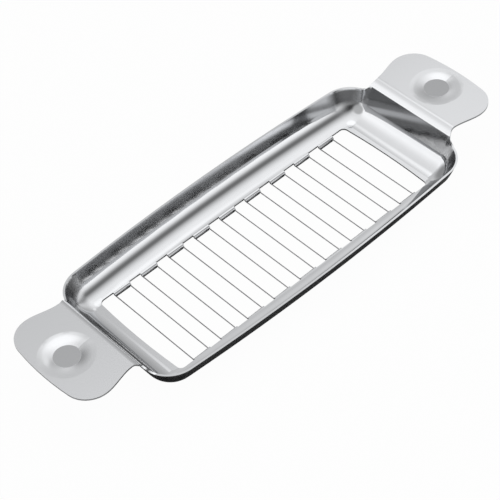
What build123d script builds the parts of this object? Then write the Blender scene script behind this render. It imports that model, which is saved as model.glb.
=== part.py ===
from build123d import *
import math
import os

os.makedirs("parts", exist_ok=True)

# Wire butter slicer: a pressed stainless steel tray with a handle at each end and nine loops of
# cutting wire stretched across the opening in its floor. X runs from handle to handle, Z is up, and
# the origin is on the table, under the middle of the tray. All sizes are in millimetres.

# Sheet
sheet_thickness = 0.7
wall_flare = 21.5                    # degrees that the tray wall leans out from upright
flange_height = 1.8                  # top face of the flat flange around the opening
side_rim_height = 12.4               # cut edge of the two long walls
handle_height = 17.6                 # top face of the handle plates

# Tray floor line: where the wall, drawn straight, meets the flange's top face
tray_half_length = 69.2
tray_half_width = 28.7               # at the middle of the long walls
tray_side_bow = 2.0                  # how far each long wall bows out between its corners
tray_corner_radius = 7.0
tray_floor_radius = 9.0              # inside bend from flange to wall
tray_shift = 0.7                     # the tray and its wires sit this far along X from the middle
handle_bend_radius = 4.0             # outside bend from end wall to handle plate

# Rim at the four corners, where the low side rim climbs to the handle
rim_climb_radius = 4.0
rim_climb_start = 24.5               # distance from the X axis where the rim leaves the side height

# Handles
handle_reach = 100.9                 # from the middle of the tray to the end of a handle
handle_end_bow_radius = 110.0
handle_half_width = 22.2
handle_corner_radius = 9.6
neck_half_width = 19.75
neck_fillet_radius = 3.0
neck_inner_reach = 74.6              # where the neck fillet runs out into the tray's end wall

# Thumb dimples
dimple_reach = 89.8                  # from the middle of the tray to the middle of a dimple
dimple_floor_radius = 4.9
dimple_outer_radius = 10.2
dimple_depth = 0.8

# Opening in the tray floor
opening_length = 123.2
opening_end_bow = 0.8
opening_corner_radius = 2.0

# Tabs and wire loops
loop_count = 9
loop_pitch = 12.7
loop_width = 6.9                     # from one cutting wire to the other, centre to centre
wire_diameter = 0.4
wire_height = 0.5                    # centre of the wires above the table
wire_bend_radius = 0.25              # centre line of the wire where it turns round a tab
wire_clearance = 0.02
tab_width = 7.5
tab_gap = 42.06                      # clear width between the facing faces of two tabs
tab_bend_radius = 0.35               # inside bend from flange to tab

# Worked out
wire_radius = wire_diameter / 2
flange_underside = flange_height - sheet_thickness
handle_underside = handle_height - sheet_thickness
flare = math.radians(wall_flare)
outer_growth = sheet_thickness * (1 - math.sin(flare)) / math.cos(flare)
tab_inner_face = tab_gap / 2
tab_outer_face = tab_inner_face + sheet_thickness
tab_bend_outer_radius = tab_bend_radius + sheet_thickness
tab_bend_start = tab_inner_face + tab_bend_outer_radius
tab_bend_height = flange_height - tab_bend_outer_radius
loop_half_length = tab_outer_face + wire_clearance + wire_radius
first_loop_x = tray_shift - loop_pitch * (loop_count - 1) / 2
loop_xs = [first_loop_x + loop_pitch * i for i in range(loop_count)]
notch_height = wire_height + wire_radius + wire_clearance
notch_depth = tab_width / 2 - loop_width / 2 + wire_radius + wire_clearance
dimple_rise = dimple_outer_radius - dimple_floor_radius
dimple_shoulder_radius = (dimple_rise**2 + dimple_depth**2) / (2 * dimple_depth)
neck_outer_reach = neck_inner_reach + neck_fillet_radius
blank_margin = 5.0                   # extra sheet round the blank, trimmed off again
blank_length = 2 * (handle_reach + blank_margin)
blank_width = 2 * (tray_half_width + side_rim_height)


def tray_floor_plan(growth):
    """Plan of the tray at the level of its flat floor, grown outwards by `growth`."""
    core_half_length = tray_half_length - tray_corner_radius
    core_middle = tray_half_width - tray_corner_radius
    core_end = core_middle - tray_side_bow
    with BuildSketch() as plan:
        with BuildLine():
            for side in (1, -1):
                ThreePointArc(
                    (-core_half_length, side * core_end),
                    (0, side * core_middle),
                    (core_half_length, side * core_end),
                )
                Line((side * core_half_length, -core_end), (side * core_half_length, core_end))
        make_face()
        offset(amount=tray_corner_radius + growth, kind=Kind.ARC)
    return plan.sketch


def handle_plan():
    """Plan of the handle at +X: a bell that flares from its neck to a gently bowed end."""
    bow_centre = handle_reach - handle_end_bow_radius
    corner_y = handle_half_width - handle_corner_radius
    corner_x = bow_centre + math.sqrt((handle_end_bow_radius - handle_corner_radius) ** 2 - corner_y**2)
    corner_angle = math.degrees(math.atan2(corner_y, corner_x - bow_centre))
    neck_y = neck_half_width + neck_fillet_radius
    neck_third = (corner_x - neck_outer_reach) / 3
    with BuildSketch() as plan:
        with BuildLine():
            Line((0, -neck_y), (0, neck_y))
            for side in (1, -1):
                Line((0, side * neck_y), (neck_inner_reach, side * neck_y))
                RadiusArc(
                    (neck_inner_reach, side * neck_y),
                    (neck_outer_reach, side * neck_half_width),
                    -side * neck_fillet_radius,
                )
                Bezier(
                    (neck_outer_reach, side * neck_half_width),
                    (neck_outer_reach + neck_third, side * neck_half_width),
                    (corner_x - neck_third, side * handle_half_width),
                    (corner_x, side * handle_half_width),
                )
                CenterArc(
                    (corner_x, side * corner_y),
                    handle_corner_radius,
                    side * 90,
                    side * (corner_angle - 90),
                )
            CenterArc((bow_centre, 0), handle_end_bow_radius, -corner_angle, 2 * corner_angle)
        make_face()
    return plan.sketch


def opening_plan():
    """Plan of the opening: straight long edges, bowed ends and small round corners."""
    middle_x = opening_length / 2
    corner_x = middle_x - opening_end_bow
    with BuildSketch() as plan:
        with BuildLine():
            for side in (1, -1):
                Line((-corner_x, side * tab_bend_start), (corner_x, side * tab_bend_start))
            for end in (1, -1):
                ThreePointArc(
                    (end * corner_x, -tab_bend_start),
                    (end * middle_x, 0),
                    (end * corner_x, tab_bend_start),
                )
        make_face()
        fillet(plan.vertices(), radius=opening_corner_radius)
    return plan.sketch


def rim_cut_section(side):
    """Section, seen along X, of what is cut away above the rim on one side of the tray."""
    arc_y = rim_climb_start
    arc_z = side_rim_height + rim_climb_radius
    top = arc_z + blank_margin
    edge_y = blank_width / 2 + blank_margin
    with BuildSketch() as section:
        with BuildLine():
            CenterArc((side * arc_y, arc_z), rim_climb_radius, -90, -side * 90)
            Polyline(
                (side * arc_y, side_rim_height),
                (side * edge_y, side_rim_height),
                (side * edge_y, top),
                (side * (arc_y - rim_climb_radius), top),
                (side * (arc_y - rim_climb_radius), arc_z),
            )
        make_face()
    return section.sketch


def dimple_section(plate_level, shoulder_radius):
    """Half section of a thumb dimple: a flat floor and a round shoulder that runs out into the plate."""
    floor_level = plate_level - dimple_depth
    shoulder_angle = math.acos((shoulder_radius - dimple_depth) / shoulder_radius)
    floor_radius = dimple_outer_radius - shoulder_radius * math.sin(shoulder_angle)
    with BuildSketch() as section:
        with BuildLine():
            Polyline(
                (dimple_outer_radius, plate_level),
                (0, plate_level),
                (0, floor_level),
                (floor_radius, floor_level),
            )
            CenterArc(
                (dimple_outer_radius, plate_level - shoulder_radius),
                shoulder_radius,
                90,
                math.degrees(shoulder_angle),
            )
        make_face()
    return section.sketch


def tab_section(side):
    """Section, seen along X, of one tab: a bend down from the flange and a short upright leg."""
    with BuildSketch() as section:
        with BuildLine():
            CenterArc((side * tab_bend_start, tab_bend_height), tab_bend_outer_radius, 90, side * 90)
            Polyline(
                (side * tab_inner_face, tab_bend_height),
                (side * tab_inner_face, 0),
                (side * tab_outer_face, 0),
                (side * tab_outer_face, tab_bend_height),
            )
            CenterArc((side * tab_bend_start, tab_bend_height), tab_bend_radius, 90, side * 90)
            Line((side * tab_bend_start, flange_underside), (side * tab_bend_start, flange_height))
        make_face()
    return section.sketch


def tray_form(floor_height, top_height, growth, floor_radius):
    """Solid form of the tray: a flaring block with its bottom edges rounded off."""
    with BuildPart() as form:
        with BuildSketch(Plane.XY.offset(floor_height)):
            with Locations((tray_shift, 0)):
                add(tray_floor_plan(growth))
        extrude(amount=top_height - floor_height, taper=-wall_flare)
        fillet(form.edges().group_by(Axis.Z)[0], radius=floor_radius)
    return form.part


def blank_plan():
    """Plan of the trimmed sheet: the tray with a handle at each end."""
    with BuildSketch() as plan:
        Rectangle(2 * neck_inner_reach, blank_width)
        add(handle_plan())
        mirror(about=Plane.YZ)
    return plan.sketch


# Frame: one pressed sheet, made as the outside form less the inside form and then trimmed.
with BuildPart() as frame:
    add(tray_form(flange_underside, handle_underside, outer_growth, tray_floor_radius + sheet_thickness))
    with BuildSketch(Plane.XY.offset(handle_underside)):
        Rectangle(blank_length, blank_width)
    extrude(amount=sheet_thickness)
    junction = frame.faces().filter_by(Axis.Z).sort_by(Axis.Z)[-2].inner_wires()
    fillet(junction.edges(), radius=handle_bend_radius - sheet_thickness)
    add(tray_form(flange_height, handle_height, 0, tray_floor_radius), mode=Mode.SUBTRACT)
    mouth = frame.faces().filter_by(Axis.Z).sort_by(Axis.Z)[-1].inner_wires()
    fillet(mouth.edges(), radius=handle_bend_radius)

    # Trim the blank in plan, then cut the rim down to the side height between the two necks.
    with BuildSketch():
        add(blank_plan())
    extrude(amount=handle_height, mode=Mode.INTERSECT)
    with BuildSketch(Plane.YZ):
        add(rim_cut_section(1))
        add(rim_cut_section(-1))
    extrude(amount=neck_outer_reach, both=True, mode=Mode.SUBTRACT)

    # Thumb dimples, pressed down into the plates without thinning them.
    for end in (1, -1):
        dimple_plane = Plane((end * dimple_reach, 0, 0), x_dir=(1, 0, 0), z_dir=(0, -1, 0))
        dimple_axis = Axis((end * dimple_reach, 0, 0), (0, 0, 1))
        with BuildSketch(dimple_plane):
            add(dimple_section(handle_underside, dimple_shoulder_radius - sheet_thickness))
        revolve(axis=dimple_axis)
        with BuildSketch(dimple_plane):
            add(dimple_section(handle_height, dimple_shoulder_radius))
        revolve(axis=dimple_axis, mode=Mode.SUBTRACT)

    with BuildSketch():
        with Locations((tray_shift, 0)):
            add(opening_plan())
    extrude(amount=handle_height, mode=Mode.SUBTRACT)

    # Tabs, with their lower corners notched for the wires.
    for x in loop_xs:
        with BuildSketch(Plane.YZ.offset(x - tab_width / 2)):
            add(tab_section(1))
            add(tab_section(-1))
        extrude(amount=tab_width)
    with BuildSketch(Plane.XZ):
        for x in loop_xs:
            with Locations((x - tab_width / 2, notch_height / 2), (x + tab_width / 2, notch_height / 2)):
                Rectangle(2 * notch_depth, notch_height)
    extrude(amount=tab_bend_start, both=True, mode=Mode.SUBTRACT)

frame.part.label = "frame"
export_step(frame.part, "parts/frame.step")

# Wire loops: each passes round the legs of two facing tabs and gives two cutting wires.
for i, x in enumerate(loop_xs):
    half_width = loop_width / 2
    with BuildPart() as wire_loop:
        with BuildLine(Plane.XY.offset(wire_height)) as route:
            FilletPolyline(
                (x + half_width, -loop_half_length),
                (x + half_width, loop_half_length),
                (x - half_width, loop_half_length),
                (x - half_width, -loop_half_length),
                radius=wire_bend_radius,
                close=True,
            )
        with BuildSketch(Plane(route.line @ 0, z_dir=route.line % 0)):
            Circle(wire_radius)
        sweep()
    wire_loop.part.label = f"wire_loop_{i + 1}"
    export_step(wire_loop.part, f"parts/wire_loop_{i + 1}.step")
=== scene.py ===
import logging
import math
from dataclasses import dataclass, field
from enum import Enum

import bpy
from mathutils import Matrix, Vector

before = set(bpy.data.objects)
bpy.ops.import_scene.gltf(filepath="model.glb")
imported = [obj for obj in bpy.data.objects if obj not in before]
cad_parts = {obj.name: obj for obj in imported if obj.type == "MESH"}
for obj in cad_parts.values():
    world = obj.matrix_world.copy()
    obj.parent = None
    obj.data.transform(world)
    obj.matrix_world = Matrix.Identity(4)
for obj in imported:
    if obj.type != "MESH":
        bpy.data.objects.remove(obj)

LOG = logging.getLogger("butter_slicer")
MM = 0.001
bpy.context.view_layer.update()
HALF_TURN = 180.0

Colour = tuple[float, float, float, float]


class Along(Enum):
    """Axis that drawn or rolled grain runs along, as the grain's fineness on X, Y and Z."""

    TRAY_LENGTH = (1.0, 12.0, 12.0)
    TRAY_WIDTH = (12.0, 1.0, 12.0)


def grey(level: float) -> Colour:
    """Give an opaque grey of one level."""
    return (level, level, level, 1.0)


def dimmed(colour: tuple[float, float, float], share: float) -> Colour:
    """Give an opaque share of a colour."""
    return (*(c * share for c in colour), 1.0)


class NodeSheet:
    """Small helper that adds and joins nodes in one node tree."""

    def __init__(self, tree: bpy.types.NodeTree) -> None:
        """Keep the tree that nodes are added to.

        Args:
            tree: Node tree of a material, a world or a group.
        """
        self.tree = tree

    def add(self, kind: str, **values: object) -> bpy.types.Node:
        """Add a node and set its plain properties.

        Args:
            kind: Node type name, such as ShaderNodeMath.
            **values: Properties of the node, such as operation.

        Returns:
            The new node.
        """
        node = self.tree.nodes.new(kind)
        for name, value in values.items():
            setattr(node, name, value)
        return node

    def join(self, source: bpy.types.NodeSocket, target: bpy.types.NodeSocket) -> None:
        """Link an output socket to an input socket.

        Args:
            source: Output socket.
            target: Input socket.
        """
        self.tree.links.new(source, target)

    def feed(self, source: object, target: bpy.types.NodeSocket) -> None:
        """Link a socket to an input, or set a plain value on the input.

        Args:
            source: Output socket, number or colour.
            target: Input socket.
        """
        if isinstance(source, bpy.types.NodeSocket):
            self.join(source, target)
        else:
            target.default_value = source

    def math(self, operation: str, *inputs: object) -> bpy.types.NodeSocket:
        """Add a Math node fed by sockets or numbers.

        Args:
            operation: Name of the operation, such as MULTIPLY.
            *inputs: Sockets or numbers, one for each input in use.

        Returns:
            The node's output socket.
        """
        node = self.add("ShaderNodeMath", operation=operation)
        for socket, value in zip(node.inputs, inputs):
            self.feed(value, socket)
        return node.outputs["Value"]

    def mix(self, kind: str, mask: bpy.types.NodeSocket, under: object,
            over: object) -> bpy.types.NodeSocket:
        """Blend from one number or colour to another.

        Args:
            kind: FLOAT for numbers, RGBA for colours.
            mask: Socket that gives the share of the second one.
            under: Socket or value where the mask is 0.
            over: Socket or value where the mask is 1.

        Returns:
            The blended socket.
        """
        node = self.add("ShaderNodeMix", data_type=kind)
        self.join(mask, node.inputs["Factor"])
        self.feed(under, node.inputs["A"])
        self.feed(over, node.inputs["B"])
        return node.outputs["Result"]

    def noise(self, place: bpy.types.NodeSocket, scale: object,
              **values: float) -> bpy.types.NodeSocket:
        """Add a Noise Texture.

        Args:
            place: Socket of the coordinates.
            scale: Socket or number for its scale.
            **values: Values of other inputs, such as Detail.

        Returns:
            Socket of the noise.
        """
        node = self.add("ShaderNodeTexNoise")
        self.join(place, node.inputs["Vector"])
        self.feed(scale, node.inputs["Scale"])
        for name, value in values.items():
            node.inputs[name].default_value = value
        return node.outputs["Fac"]

    def grey_ramp(self, share: bpy.types.NodeSocket,
                  stops: list[tuple[float, float]]) -> bpy.types.NodeSocket:
        """Add a ramp of greys.

        Args:
            share: Socket that gives the place on the ramp, 0 to 1.
            stops: Pairs of place and grey level, in rising order.

        Returns:
            Socket of the grey.
        """
        ramp = self.add("ShaderNodeValToRGB")
        self.join(share, ramp.inputs["Fac"])
        elements = ramp.color_ramp.elements
        while len(elements) < len(stops):
            elements.new(0.5)
        for element, (place, level) in zip(elements, stops):
            element.position = place
            element.color = grey(level)
        return ramp.outputs["Color"]

    def remap(self, value: bpy.types.NodeSocket, low: float, high: float,
              to_low: float = 0.0, to_high: float = 1.0) -> bpy.types.NodeSocket:
        """Map a value smoothly from one range to another.

        Args:
            value: Socket that gives the value.
            low: Value that gives to_low.
            high: Value that gives to_high.
            to_low: Result at the low end.
            to_high: Result at the high end.

        Returns:
            The mapped value's socket.
        """
        node = self.add("ShaderNodeMapRange", interpolation_type="SMOOTHSTEP")
        self.join(value, node.inputs["Value"])
        limits = {"From Min": low, "From Max": high, "To Min": to_low, "To Max": to_high}
        for name, number in limits.items():
            node.inputs[name].default_value = number
        return node.outputs["Result"]


def open_material(name: str) -> tuple[bpy.types.Material, NodeSheet]:
    """Make a material with an empty node tree.

    Args:
        name: Name of the material.

    Returns:
        The material and a helper on its tree.
    """
    material = bpy.data.materials.new(name)
    material.use_nodes = True
    material.node_tree.nodes.clear()
    return material, NodeSheet(material.node_tree)


class EffectShelf:
    """Shader effects that several finishes share, each built once as a node group.

    Attributes:
        GRAIN_DETAIL: Octaves in the polishing grain.
        GRAIN_ROUGHNESS: Weight of the grain's finer octaves.
        GRAIN_SPAN: Noise values between which a grain line comes in.
        PATCH_DETAIL: Octaves in the broad haze patches.
        PATCH_DISTORTION: How far the broad patches are bent out of shape.
        SMEAR_DETAIL: Octaves in the fine smears.
        SMEAR_FINENESS: Fine smears to one broad patch.
        SMEAR_SHARE: Weight of the fine smears beside the patches.
        HAZE_SPAN: Summed noise values between which the haze comes in.
    """

    GRAIN_DETAIL: float = 3.0
    GRAIN_ROUGHNESS: float = 0.6
    GRAIN_SPAN: tuple[float, float] = (0.3, 0.7)
    PATCH_DETAIL: float = 2.0
    PATCH_DISTORTION: float = 0.6
    SMEAR_DETAIL: float = 4.0
    SMEAR_FINENESS: float = 7.0
    SMEAR_SHARE: float = 0.35
    HAZE_SPAN: tuple[float, float] = (0.45, 0.95)

    def __init__(self) -> None:
        """Build every shared effect."""
        self.grain = self.build_polishing_grain()
        self.haze = self.build_handling_haze()
        self.waviness = self.build_sheet_waviness()

    def open_group(self, name: str, inputs: dict[str, float],
                   outputs: tuple[str, ...]) -> NodeSheet:
        """Start a group with named float sockets.

        Args:
            name: Name of the group.
            inputs: Input names and their default values.
            outputs: Output names.

        Returns:
            A helper on the new group's tree.
        """
        tree = bpy.data.node_groups.new(name, "ShaderNodeTree")
        for label, default in inputs.items():
            socket = tree.interface.new_socket(
                label, in_out="INPUT", socket_type="NodeSocketFloat")
            socket.default_value = default
        for label in outputs:
            tree.interface.new_socket(label, in_out="OUTPUT", socket_type="NodeSocketFloat")
        return NodeSheet(tree)

    def build_polishing_grain(self) -> bpy.types.NodeTree:
        """Build fine drawn-out lines that polishing and rolling leave.

        Returns:
            Group with inputs Fineness, Stretch X, Stretch Y, Stretch Z and output Lines (0 to 1).
        """
        inputs = {"Fineness": 900.0, "Stretch X": 1.0, "Stretch Y": 12.0, "Stretch Z": 12.0}
        sheet = self.open_group("polishing_grain", inputs, ("Lines",))
        ports = sheet.add("NodeGroupInput")
        place = sheet.add("ShaderNodeTexCoord")
        stretch = sheet.add("ShaderNodeCombineXYZ")
        for axis in "XYZ":
            scaled = sheet.math("MULTIPLY", ports.outputs["Fineness"],
                                ports.outputs[f"Stretch {axis}"])
            sheet.join(scaled, stretch.inputs[axis])
        drawn = sheet.add("ShaderNodeVectorMath", operation="MULTIPLY")
        sheet.join(place.outputs["Object"], drawn.inputs[0])
        sheet.join(stretch.outputs["Vector"], drawn.inputs[1])
        noise = sheet.noise(drawn.outputs["Vector"], 1.0, Detail=self.GRAIN_DETAIL,
                            Roughness=self.GRAIN_ROUGHNESS)
        end = sheet.add("NodeGroupOutput")
        sheet.join(sheet.remap(noise, *self.GRAIN_SPAN), end.inputs["Lines"])
        return sheet.tree

    def build_handling_haze(self) -> bpy.types.NodeTree:
        """Build the soft patches that hands, washing and drying leave on bare metal.

        Returns:
            Group with input Patch Size and output Haze (0 to 1).
        """
        sheet = self.open_group("handling_haze", {"Patch Size": 60.0}, ("Haze",))
        place = sheet.add("ShaderNodeTexCoord").outputs["Object"]
        size = sheet.add("NodeGroupInput").outputs["Patch Size"]
        patches = sheet.noise(place, size, Detail=self.PATCH_DETAIL,
                              Distortion=self.PATCH_DISTORTION)
        smears = sheet.noise(place, sheet.math("MULTIPLY", size, self.SMEAR_FINENESS),
                             Detail=self.SMEAR_DETAIL)
        both = sheet.math("MULTIPLY_ADD", smears, self.SMEAR_SHARE, patches)
        end = sheet.add("NodeGroupOutput")
        sheet.join(sheet.remap(both, *self.HAZE_SPAN), end.inputs["Haze"])
        return sheet.tree

    def build_sheet_waviness(self) -> bpy.types.NodeTree:
        """Build the slow swells that pressing leaves in thin sheet.

        Returns:
            Group with inputs Swells (per metre) and Depth (metres) and output Height in metres.
        """
        sheet = self.open_group("sheet_waviness", {"Swells": 18.0, "Depth": 0.0002}, ("Height",))
        ports = sheet.add("NodeGroupInput")
        place = sheet.add("ShaderNodeTexCoord")
        swell = sheet.noise(place.outputs["Object"], ports.outputs["Swells"], Detail=0.0)
        end = sheet.add("NodeGroupOutput")
        height = sheet.math("MULTIPLY", swell, ports.outputs["Depth"])
        sheet.join(height, end.inputs["Height"])
        return sheet.tree


@dataclass(frozen=True)
class MetalNodes:
    """Parts of a built metal finish that masks can be laid over.

    Attributes:
        material: The material.
        sheet: Helper on its tree.
        shader: Its Principled node.
        colour: Socket that drives the colour.
        roughness: Socket that drives the roughness.
    """

    material: bpy.types.Material
    sheet: NodeSheet
    shader: bpy.types.Node
    colour: bpy.types.NodeSocket
    roughness: bpy.types.NodeSocket


@dataclass(frozen=True)
class BareMetal:
    """Bare metal finish with polishing grain and handling haze.

    Attributes:
        name: Material name.
        colour: Reflected colour, linear RGB.
        roughness: Roughness where the metal is cleanest.
        haze_roughness: Roughness added where the haze is densest.
        haze_shade: Share of the colour left where the haze is densest.
        grain_depth: Height of the polishing grain in metres.
        fineness: Grain lines per metre along the drawn axis.
        along: Axis that the grain runs along.
        patch_size: Haze patches per metre.
        swells: Slow swells per metre.
        swell_depth: Height of the swells in metres.
        grain_share: Roughness of the grain's lines, as a share of haze_roughness.
    """

    name: str
    colour: tuple[float, float, float]
    roughness: float
    haze_roughness: float
    haze_shade: float
    grain_depth: float
    fineness: float
    along: Along
    patch_size: float
    swells: float
    swell_depth: float
    grain_share: float = 0.5

    def build(self, effects: EffectShelf) -> MetalNodes:
        """Make the material with its colour, roughness and bump.

        Args:
            effects: Shared effect groups.

        Returns:
            The material with the nodes that masks are laid over.
        """
        material, sheet = open_material(self.name)
        output = sheet.add("ShaderNodeOutputMaterial")
        shader = sheet.add("ShaderNodeBsdfPrincipled")
        shader.inputs["Metallic"].default_value = 1.0
        sheet.join(shader.outputs["BSDF"], output.inputs["Surface"])

        grain = sheet.add("ShaderNodeGroup", node_tree=effects.grain)
        grain.inputs["Fineness"].default_value = self.fineness
        for axis, stretch in zip("XYZ", self.along.value):
            grain.inputs[f"Stretch {axis}"].default_value = stretch
        lines = grain.outputs["Lines"]
        haze_group = sheet.add("ShaderNodeGroup", node_tree=effects.haze)
        haze_group.inputs["Patch Size"].default_value = self.patch_size
        haze = haze_group.outputs["Haze"]

        colour = sheet.mix("RGBA", haze, dimmed(self.colour, 1.0),
                           dimmed(self.colour, self.haze_shade))
        sheet.join(colour, shader.inputs["Base Color"])
        hazed = sheet.math("MULTIPLY_ADD", haze, self.haze_roughness, self.roughness)
        roughness = sheet.math("MULTIPLY_ADD", lines, self.haze_roughness * self.grain_share,
                               hazed)
        sheet.join(roughness, shader.inputs["Roughness"])

        waviness = sheet.add("ShaderNodeGroup", node_tree=effects.waviness)
        waviness.inputs["Swells"].default_value = self.swells
        waviness.inputs["Depth"].default_value = self.swell_depth
        bump = sheet.add("ShaderNodeBump")
        bump.inputs["Distance"].default_value = 1.0
        height = sheet.math("MULTIPLY_ADD", lines, self.grain_depth, waviness.outputs["Height"])
        sheet.join(height, bump.inputs["Height"])
        sheet.join(bump.outputs["Normal"], shader.inputs["Normal"])
        return MetalNodes(material, sheet, shader, colour, roughness)


@dataclass
class PressedFrame:
    """The pressed sheet: tray, opening, tabs and the two handles with their thumb dimples.

    Attributes:
        node: Name of the CAD node.
        dimple_reach: Distance from the middle of the tray to a dimple, in mm.
        dimple_floor_radius: Radius of a dimple's flat floor, in mm.
        dimple_rim_fade: Fade of a dimple floor's edge, in mm inside and outside that radius.
        dimple_level_fade: Height just below plate_level over which that mask comes in, in mm.
        plate_level: Height above which a point is on a handle plate, in mm.
        plate_fade: Distances below and above that level over which its finish comes in, in mm.
        floor_shade: Share of the metal's colour on a dimple's satin floor.
        floor_roughness: Roughness of a dimple's satin floor.
        cut_dullness_and_tab_shade: Share of the metal's colour on upright faces: dull cut metal on
        the sheared edges and painted shade on the tabs' faces.
        edge_roughness: Roughness of sheared edges.
        edge_lean: Upward shares of the normal between which the upright faces' mask fades.
        painted_mirror_shade_heights: Pairs of height in mm and how strongly the sheet's colour is
        darkened there where metal mirrors it: painted shade in reflections, darkest low down and
        again in a band at mid height. It is there for the looks only: bare metal alone wouldn't do
        it.
        painted_mirror_shade_share: Share of the metal's colour left where that painted shade is
            full.
        corner_reach: Distances along and across the tray at which its drawn corners begin, in mm.
        corner_fade: Distance over which a drawn corner's dull finish and painted dark reflection
            come in, in mm.
        corner_dull_rise: Heights over which a drawn corner turns dull, in mm.
        painted_corner_rise: Heights over which it also turns dark with a painted reflection, in
            mm.
        corner_top_fade: Heights over which both fade out under the rim, in mm.
        painted_corner_reflection: Share of the metal's colour in the drawn corners, a painted dark
        reflection. It stands in for dark reflections and doesn't follow the light.
        corner_roughness: Roughness of the drawn corners.
        plate_roughness: Roughness of the handle plates, duller than the tray.
    """

    node: str = "frame"
    dimple_reach: float = 89.8
    dimple_floor_radius: float = 4.9
    dimple_rim_fade: tuple[float, float] = (0.15, 0.05)
    dimple_level_fade: float = 0.1
    plate_level: float = 15.0
    plate_fade: tuple[float, float] = (0.6, 1.0)
    floor_shade: float = 0.62
    floor_roughness: float = 0.34
    cut_dullness_and_tab_shade: float = 0.3
    edge_roughness: float = 0.38
    edge_lean: tuple[float, float] = (0.15, 0.3)
    painted_mirror_shade_heights: tuple[tuple[float, float], ...] = (
        (0.0, 1.0), (1.9, 1.0), (3.0, 0.0), (4.5, 0.0),
        (5.2, 0.8), (6.8, 0.6), (8.2, 0.1), (11.0, 0.0))
    painted_mirror_shade_share: float = 0.15
    corner_reach: tuple[float, float] = (60.0, 21.0)
    corner_fade: float = 6.0
    corner_dull_rise: tuple[float, float] = (2.0, 4.0)
    painted_corner_rise: tuple[float, float] = (4.5, 8.0)
    corner_top_fade: tuple[float, float] = (11.4, 12.4)
    painted_corner_reflection: float = 0.24
    corner_roughness: float = 0.24
    plate_roughness: float = 0.17
    finish: BareMetal = field(default_factory=lambda: BareMetal(
        name="polished_stainless_sheet",
        colour=(0.822, 0.832, 0.85),
        roughness=0.055,
        haze_roughness=0.03,
        haze_shade=0.96,
        grain_depth=0.0000002,
        fineness=160.0,
        along=Along.TRAY_LENGTH,
        patch_size=38.0,
        swells=18.0,
        swell_depth=0.00012,
    ))

    def dress(self, nodes: dict[str, bpy.types.Object], effects: EffectShelf) -> None:
        """Give the sheet its polished finish, with duller and darker patches laid over it. Some of
        the darker ones are painted shade and painted reflections.

        Args:
            nodes: CAD nodes by name.
            effects: Shared effect groups.
        """
        metal = self.finish.build(effects)
        sheet, colour, roughness = metal.sheet, metal.colour, metal.roughness
        dull_corners = self.drawn_corner_mask(sheet, self.corner_dull_rise)
        painted_dark_corners = self.drawn_corner_mask(sheet, self.painted_corner_rise)
        patches = (
            (self.plate_mask(sheet), 1.0, self.plate_roughness),
            (dull_corners, 1.0, self.corner_roughness),
            # Painted reflection: the drawn corners darken to stand in for dark reflections.
            (painted_dark_corners, self.painted_corner_reflection, self.corner_roughness),
            (self.dimple_floor_mask(sheet), self.floor_shade, self.floor_roughness),
            # Upright faces: dull cut edges, and painted shade on the tabs' faces.
            (self.cut_edge_and_tab_shade_mask(sheet), self.cut_dullness_and_tab_shade, self.edge_roughness),
            # Painted shade in reflections: the sheet darkens by height where metal mirrors it.
            (self.painted_mirror_shade_mask(sheet), self.painted_mirror_shade_share, self.corner_roughness),
        )
        for mask, shade, patch_roughness in patches:
            colour = sheet.mix("RGBA", mask, colour, dimmed(self.finish.colour, shade))
            roughness = sheet.mix("FLOAT", mask, roughness, patch_roughness)
        sheet.join(colour, metal.shader.inputs["Base Color"])
        sheet.join(roughness, metal.shader.inputs["Roughness"])
        nodes[self.node].material_slots[0].material = metal.material

    def cut_edge_and_tab_shade_mask(self, sheet: NodeSheet) -> bpy.types.NodeSocket:
        """Mask of the upright faces: the sheared edges of the blank, dull as cut, and the small
        tabs, whose darkening is painted shade.

        Args:
            sheet: Helper on the material's tree.

        Returns:
            Socket of the mask.
        """
        surface = sheet.add("ShaderNodeNewGeometry")
        split = sheet.add("ShaderNodeSeparateXYZ")
        sheet.join(surface.outputs["True Normal"], split.inputs["Vector"])
        lean = sheet.math("ABSOLUTE", split.outputs["Z"])
        return sheet.remap(lean, *self.edge_lean, to_low=1.0, to_high=0.0)

    def place_on_sheet(self, sheet: NodeSheet) -> bpy.types.Node:
        """Add the place on the object, split into its three measures.

        Args:
            sheet: Helper on the material's tree.

        Returns:
            Node whose outputs X, Y and Z are in metres.
        """
        place = sheet.add("ShaderNodeTexCoord")
        split = sheet.add("ShaderNodeSeparateXYZ")
        sheet.join(place.outputs["Object"], split.inputs["Vector"])
        return split

    def plate_mask(self, sheet: NodeSheet) -> bpy.types.NodeSocket:
        """Mask of the two handle plates.

        Args:
            sheet: Helper on the material's tree.

        Returns:
            Socket of the mask.
        """
        height = self.place_on_sheet(sheet).outputs["Z"]
        below, above = self.plate_fade
        return sheet.remap(height, (self.plate_level - below) * MM,
                           (self.plate_level + above) * MM)

    def drawn_corner_mask(self, sheet: NodeSheet,
                          rise: tuple[float, float]) -> bpy.types.NodeSocket:
        """Mask of the four drawn corners of the wall.

        Args:
            sheet: Helper on the material's tree.
            rise: Heights at which the mask begins and is full, in mm.

        Returns:
            Socket of the mask.
        """
        split = self.place_on_sheet(sheet)
        shares = []
        for axis, reach in zip("XY", self.corner_reach):
            away = sheet.math("ABSOLUTE", split.outputs[axis])
            shares.append(sheet.remap(away, reach * MM, (reach + self.corner_fade) * MM))
        low = sheet.remap(split.outputs["Z"], *(height * MM for height in rise))
        high = sheet.remap(split.outputs["Z"], *(height * MM for height in self.corner_top_fade),
                           to_low=1.0, to_high=0.0)
        return sheet.math("MULTIPLY", sheet.math("MULTIPLY", *shares),
                          sheet.math("MULTIPLY", low, high))

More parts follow.
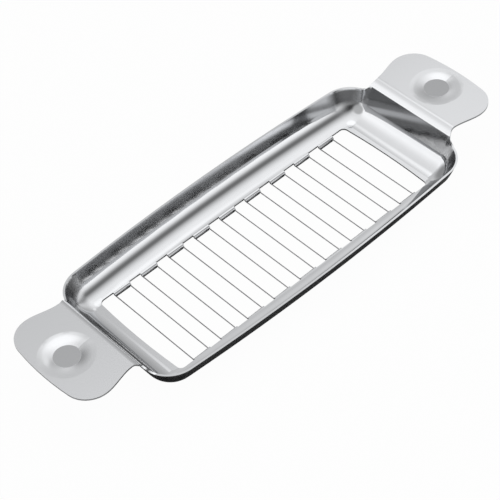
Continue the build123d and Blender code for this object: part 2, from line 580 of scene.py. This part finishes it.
    def painted_mirror_shade_mask(self, sheet: NodeSheet) -> bpy.types.NodeSocket:
        """Mask of the painted shade in reflections: heights of the tray darkened where metal
        mirrors them.

        Args:
            sheet: Helper on the material's tree.

        Returns:
            Socket of the mask, 0 everywhere outside a reflection.
        """
        path = sheet.add("ShaderNodeLightPath")
        top = self.painted_mirror_shade_heights[-1][0]
        share = sheet.remap(self.place_on_sheet(sheet).outputs["Z"], 0.0, top * MM)
        stops = [(height / top, dimness) for height, dimness in self.painted_mirror_shade_heights]
        dimness = sheet.grey_ramp(share, stops)
        # Is Glossy Ray lays this painted shade only on what metal mirrors.
        return sheet.math("MULTIPLY", path.outputs["Is Glossy Ray"], dimness)

    def dimple_floor_mask(self, sheet: NodeSheet) -> bpy.types.NodeSocket:
        """Mask of the two dimple floors, 1 on the satin discs and 0 elsewhere.

        Args:
            sheet: Helper on the material's tree.

        Returns:
            Socket of the mask.
        """
        split = self.place_on_sheet(sheet)
        reach = sheet.math("ABSOLUTE", split.outputs["X"])
        along = sheet.math("SUBTRACT", reach, self.dimple_reach * MM)
        across = split.outputs["Y"]
        span = sheet.math("ADD", sheet.math("MULTIPLY", along, along),
                          sheet.math("MULTIPLY", across, across))
        rim = self.dimple_floor_radius * MM
        inside, outside = self.dimple_rim_fade
        disc = sheet.remap(sheet.math("SQRT", span), rim - inside * MM, rim + outside * MM,
                           to_low=1.0, to_high=0.0)
        upper = sheet.remap(split.outputs["Z"], (self.plate_level - self.dimple_level_fade) * MM,
                            self.plate_level * MM)
        return sheet.math("MULTIPLY", disc, upper)


@dataclass
class CuttingWires:
    """The loops of drawn wire stretched across the opening.

    Attributes:
        prefix: Start of the CAD nodes' names.
        count: Number of loops.
    """

    prefix: str = "wire_loop_"
    count: int = 9
    finish: BareMetal = field(default_factory=lambda: BareMetal(
        name="drawn_stainless_wire",
        colour=(0.34, 0.34, 0.35),
        roughness=0.3,
        haze_roughness=0.1,
        haze_shade=0.85,
        grain_depth=0.000002,
        fineness=300.0,
        along=Along.TRAY_WIDTH,
        patch_size=200.0,
        swells=60.0,
        swell_depth=0.00001,
    ))

    def dress(self, nodes: dict[str, bpy.types.Object], effects: EffectShelf) -> None:
        """Give every loop the drawn wire finish.

        Args:
            nodes: CAD nodes by name.
            effects: Shared effect groups.
        """
        material = self.finish.build(effects).material
        for number in range(1, self.count + 1):
            nodes[f"{self.prefix}{number}"].material_slots[0].material = material


@dataclass(frozen=True)
class LightRamp:
    """Brightness of the studio round a half turn, from the back horizon over the top to the front.

    Attributes:
        stops: Pairs of degrees from the back horizon and brightness, in rising order.
    """

    stops: tuple[tuple[float, float], ...]

    def build(self, sheet: NodeSheet, share: bpy.types.NodeSocket) -> bpy.types.NodeSocket:
        """Add the ramp to a node tree.

        Args:
            sheet: Helper on the world's tree.
            share: Socket that gives the share of the half turn.

        Returns:
            Socket of the brightness, as a grey.
        """
        return sheet.grey_ramp(
            share, [(degrees / HALF_TURN, level) for degrees, level in self.stops])


@dataclass(frozen=True)
class SoftCard:
    """Round card with a soft edge, hung far away in the studio.

    Attributes:
        direction: Direction of the card's middle, as a unit vector.
        level: Brightness of the card.
        core: Angle from the middle within which the card is even, in degrees.
        edge: Angle from the middle at which the card ends, in degrees.
    """

    direction: tuple[float, float, float]
    level: float
    core: float
    edge: float

    def build(self, sheet: NodeSheet, view: bpy.types.NodeSocket,
              behind: bpy.types.NodeSocket) -> bpy.types.NodeSocket:
        """Lay the card over what is behind it.

        Args:
            sheet: Helper on the world's tree.
            view: Socket that gives the direction looked in.
            behind: Socket that gives the brightness behind the card.

        Returns:
            Socket of the brightness with the card, as a grey.
        """
        facing = sheet.add("ShaderNodeVectorMath", operation="DOT_PRODUCT")
        sheet.join(view, facing.inputs[0])
        facing.inputs[1].default_value = self.direction
        cover = sheet.remap(facing.outputs["Value"], math.cos(math.radians(self.edge)),
                            math.cos(math.radians(self.core)))
        return sheet.mix("RGBA", cover, behind, grey(self.level))


@dataclass
class Studio:
    """Pale floor, soft light and the camera.

    Attributes:
        camera_place: Camera position in mm.
        camera_target: Point on the table that the camera looks at, in mm.
        camera_roll: Turn about the line of sight in degrees.
        lens: Focal length in mm.
        sensor_width: Width of the camera's sensor in mm.
        camera_shift: Shift of the picture across and up, as shares of its width.
        camera_clip: Nearest and farthest distances that the camera sees, in metres.
        floor_size: Side of the floor in mm.
        floor_level: Grey of the floor.
        white_share: Share of plain white in the floor that the camera sees, shaded or not, and
            in the open floor that metal mirrors.
        shade_reach: Distance in mm within which the tool darkens the floor's reflection.
        shade_samples: Rays that look for the tool round a point of the floor.
        shade_span: Open shares of its surroundings at which a point counts as shaded and as open.
        mirrored_level: Grey of shaded floor where metal mirrors it.
        left_light: Studio brightness towards the left.
        middle_light: Studio brightness straight behind, above and in front.
        right_light: Studio brightness towards the right.
        middle_span: X of the direction over which middle_light takes over from left_light.
        right_span: X of the direction over which right_light takes over from middle_light.
        cards: Soft cards in front of that light.
    """

    camera_place: tuple[float, float, float] = (-276.23, -346.32, 479.46)
    camera_target: tuple[float, float, float] = (-5.29, 2.48, 0.0)
    camera_roll: float = -6.57
    lens: float = 129.5
    sensor_width: float = 36.0
    camera_shift: tuple[float, float] = (-0.001, 0.001)
    camera_clip: tuple[float, float] = (0.01, 20.0)
    floor_size: float = 6000.0
    floor_level: float = 0.9
    white_share: float = 0.97
    shade_reach: float = 30.0
    shade_samples: int = 8
    shade_span: tuple[float, float] = (0.62, 0.97)
    mirrored_level: float = 0.1
    left_light: LightRamp = LightRamp((
        (0, 1.2), (24, 1.1), (44, 1.15), (60, 0.92), (84, 0.88), (98, 0.85), (108, 0.75),
        (120, 0.3), (130, 0.02), (148, 0.02), (158, 0.3), (168, 0.6), (180, 0.9)))
    middle_light: LightRamp = LightRamp((
        (0, 0.45), (10, 0.5), (18, 0.74), (25, 0.78), (35, 0.7), (47, 0.62), (54, 0.62),
        (58.5, 0.82), (70, 0.96), (85, 1.02), (96, 0.98), (105, 0.87), (115, 0.66), (123, 0.42),
        (130, 0.2), (137, 0.17), (143, 0.25), (150, 0.5), (157, 0.84), (165, 1.06), (172, 1.15),
        (180, 1.2)))
    right_light: LightRamp = LightRamp((
        (0, 0.45), (24, 0.42), (40, 0.45), (60, 0.5), (84, 0.7), (100, 0.65), (120, 0.25),
        (132, 0.35), (144, 0.6), (158, 0.9), (180, 1.0)))
    middle_span: tuple[float, float] = (-0.6, 0.1)
    right_span: tuple[float, float] = (0.45, 0.85)
    cards: tuple[SoftCard, ...] = (
        SoftCard(direction=(-0.864, 0.0, 0.503), level=0.5, core=18.0, edge=28.0),
        SoftCard(direction=(-0.15, 0.932, 0.331), level=0.3, core=12.0, edge=38.0),
        SoftCard(direction=(0.53, 0.468, 0.707), level=0.93, core=3.5, edge=6.5),
        SoftCard(direction=(0.2, 0.303, 0.932), level=1.2, core=8.0, edge=18.0),
    )

    def build_camera(self) -> None:
        """Add the camera and make it the scene's own."""
        data = bpy.data.cameras.new("studio_camera")
        data.lens = self.lens
        data.sensor_width = self.sensor_width
        data.shift_x, data.shift_y = self.camera_shift
        data.clip_start, data.clip_end = self.camera_clip
        camera = bpy.data.objects.new("studio_camera", data)
        place = Vector(self.camera_place) * MM
        line = Vector(self.camera_target) * MM - place
        aim = line.to_track_quat("-Z", "Y").to_matrix().to_4x4()
        roll = Matrix.Rotation(math.radians(self.camera_roll), 4, "Z")
        camera.matrix_world = Matrix.Translation(place) @ aim @ roll
        bpy.context.scene.collection.objects.link(camera)
        bpy.context.scene.camera = camera

    def build_floor(self) -> None:
        """Add the pale floor that the slicer rests on."""
        half = self.floor_size * MM / 2
        mesh = bpy.data.meshes.new("studio_floor")
        corners = [(-half, -half, 0), (half, -half, 0), (half, half, 0), (-half, half, 0)]
        mesh.from_pydata(corners, [], [(0, 1, 2, 3)])
        floor = bpy.data.objects.new("studio_floor", mesh)
        bpy.context.scene.collection.objects.link(floor)
        mesh.materials.append(self.build_floor_material())

    def build_floor_material(self) -> bpy.types.Material:
        """Make the matte floor, near plain white to the camera and, where it is open, in metal.

        The tool's shade on it shows in metal. The camera sees only the trace of it that
        white_share leaves.

        Returns:
            The floor's material.
        """
        material, sheet = open_material("pale_floor")
        output = sheet.add("ShaderNodeOutputMaterial")
        matte = sheet.add("ShaderNodeBsdfDiffuse")
        glow = sheet.add("ShaderNodeEmission")
        glow.inputs["Color"].default_value = grey(1.0)
        path = sheet.add("ShaderNodeLightPath")
        shade = sheet.add("ShaderNodeAmbientOcclusion", samples=self.shade_samples)
        shade.inputs["Distance"].default_value = self.shade_reach * MM
        open_floor = sheet.remap(shade.outputs["AO"], *self.shade_span)
        mirrored = sheet.math("MAXIMUM", path.outputs["Is Glossy Ray"],
                              path.outputs["Is Transmission Ray"])
        colour = sheet.mix("RGBA", mirrored, grey(self.floor_level), grey(self.mirrored_level))
        sheet.join(colour, matte.inputs["Color"])
        seen = sheet.math("MAXIMUM", path.outputs["Is Camera Ray"],
                          sheet.math("MULTIPLY", mirrored, open_floor))
        mix = sheet.add("ShaderNodeMixShader")
        sheet.join(sheet.math("MULTIPLY", seen, self.white_share), mix.inputs["Fac"])
        sheet.join(matte.outputs["BSDF"], mix.inputs[1])
        sheet.join(glow.outputs["Emission"], mix.inputs[2])
        sheet.join(mix.outputs["Shader"], output.inputs["Surface"])
        return material

    def build_world(self) -> None:
        """Surround the scene with three ramps of light, blended sideways, and the cards."""
        world = bpy.data.worlds.new("studio_world")
        bpy.context.scene.world = world
        world.use_nodes = True
        world.node_tree.nodes.clear()
        sheet = NodeSheet(world.node_tree)
        output = sheet.add("ShaderNodeOutputWorld")
        place = sheet.add("ShaderNodeTexCoord")
        split = sheet.add("ShaderNodeSeparateXYZ")
        sheet.join(place.outputs["Generated"], split.inputs["Vector"])
        turn = sheet.math("ARCTAN2", split.outputs["Z"], split.outputs["Y"])
        share = sheet.math("DIVIDE", turn, math.pi)
        brightness = self.left_light.build(sheet, share)
        for light, span in ((self.middle_light, self.middle_span),
                            (self.right_light, self.right_span)):
            mask = sheet.remap(split.outputs["X"], *span)
            brightness = sheet.mix("RGBA", mask, brightness, light.build(sheet, share))
        for card in self.cards:
            brightness = card.build(sheet, place.outputs["Generated"], brightness)
        studio = sheet.add("ShaderNodeBackground")
        sheet.join(brightness, studio.inputs["Color"])
        sheet.join(studio.outputs["Background"], output.inputs["Surface"])

    def build(self) -> None:
        """Build the whole studio."""
        self.build_camera()
        self.build_floor()
        self.build_world()
        bpy.context.scene.view_settings.view_transform = "Standard"


def main() -> None:
    """Dress the frame and the wires, then build the studio."""
    logging.basicConfig(level=logging.INFO, format="%(name)s: %(message)s")
    nodes: dict[str, bpy.types.Object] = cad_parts
    effects = EffectShelf()
    pressed = PressedFrame()
    pressed.dress(nodes, effects)
    LOG.info("dressed %s", pressed.node)
    wires = CuttingWires()
    wires.dress(nodes, effects)
    LOG.info("dressed %d wire loops", wires.count)
    Studio().build()
    LOG.info("built the studio")


if __name__ == "__main__":
    main()
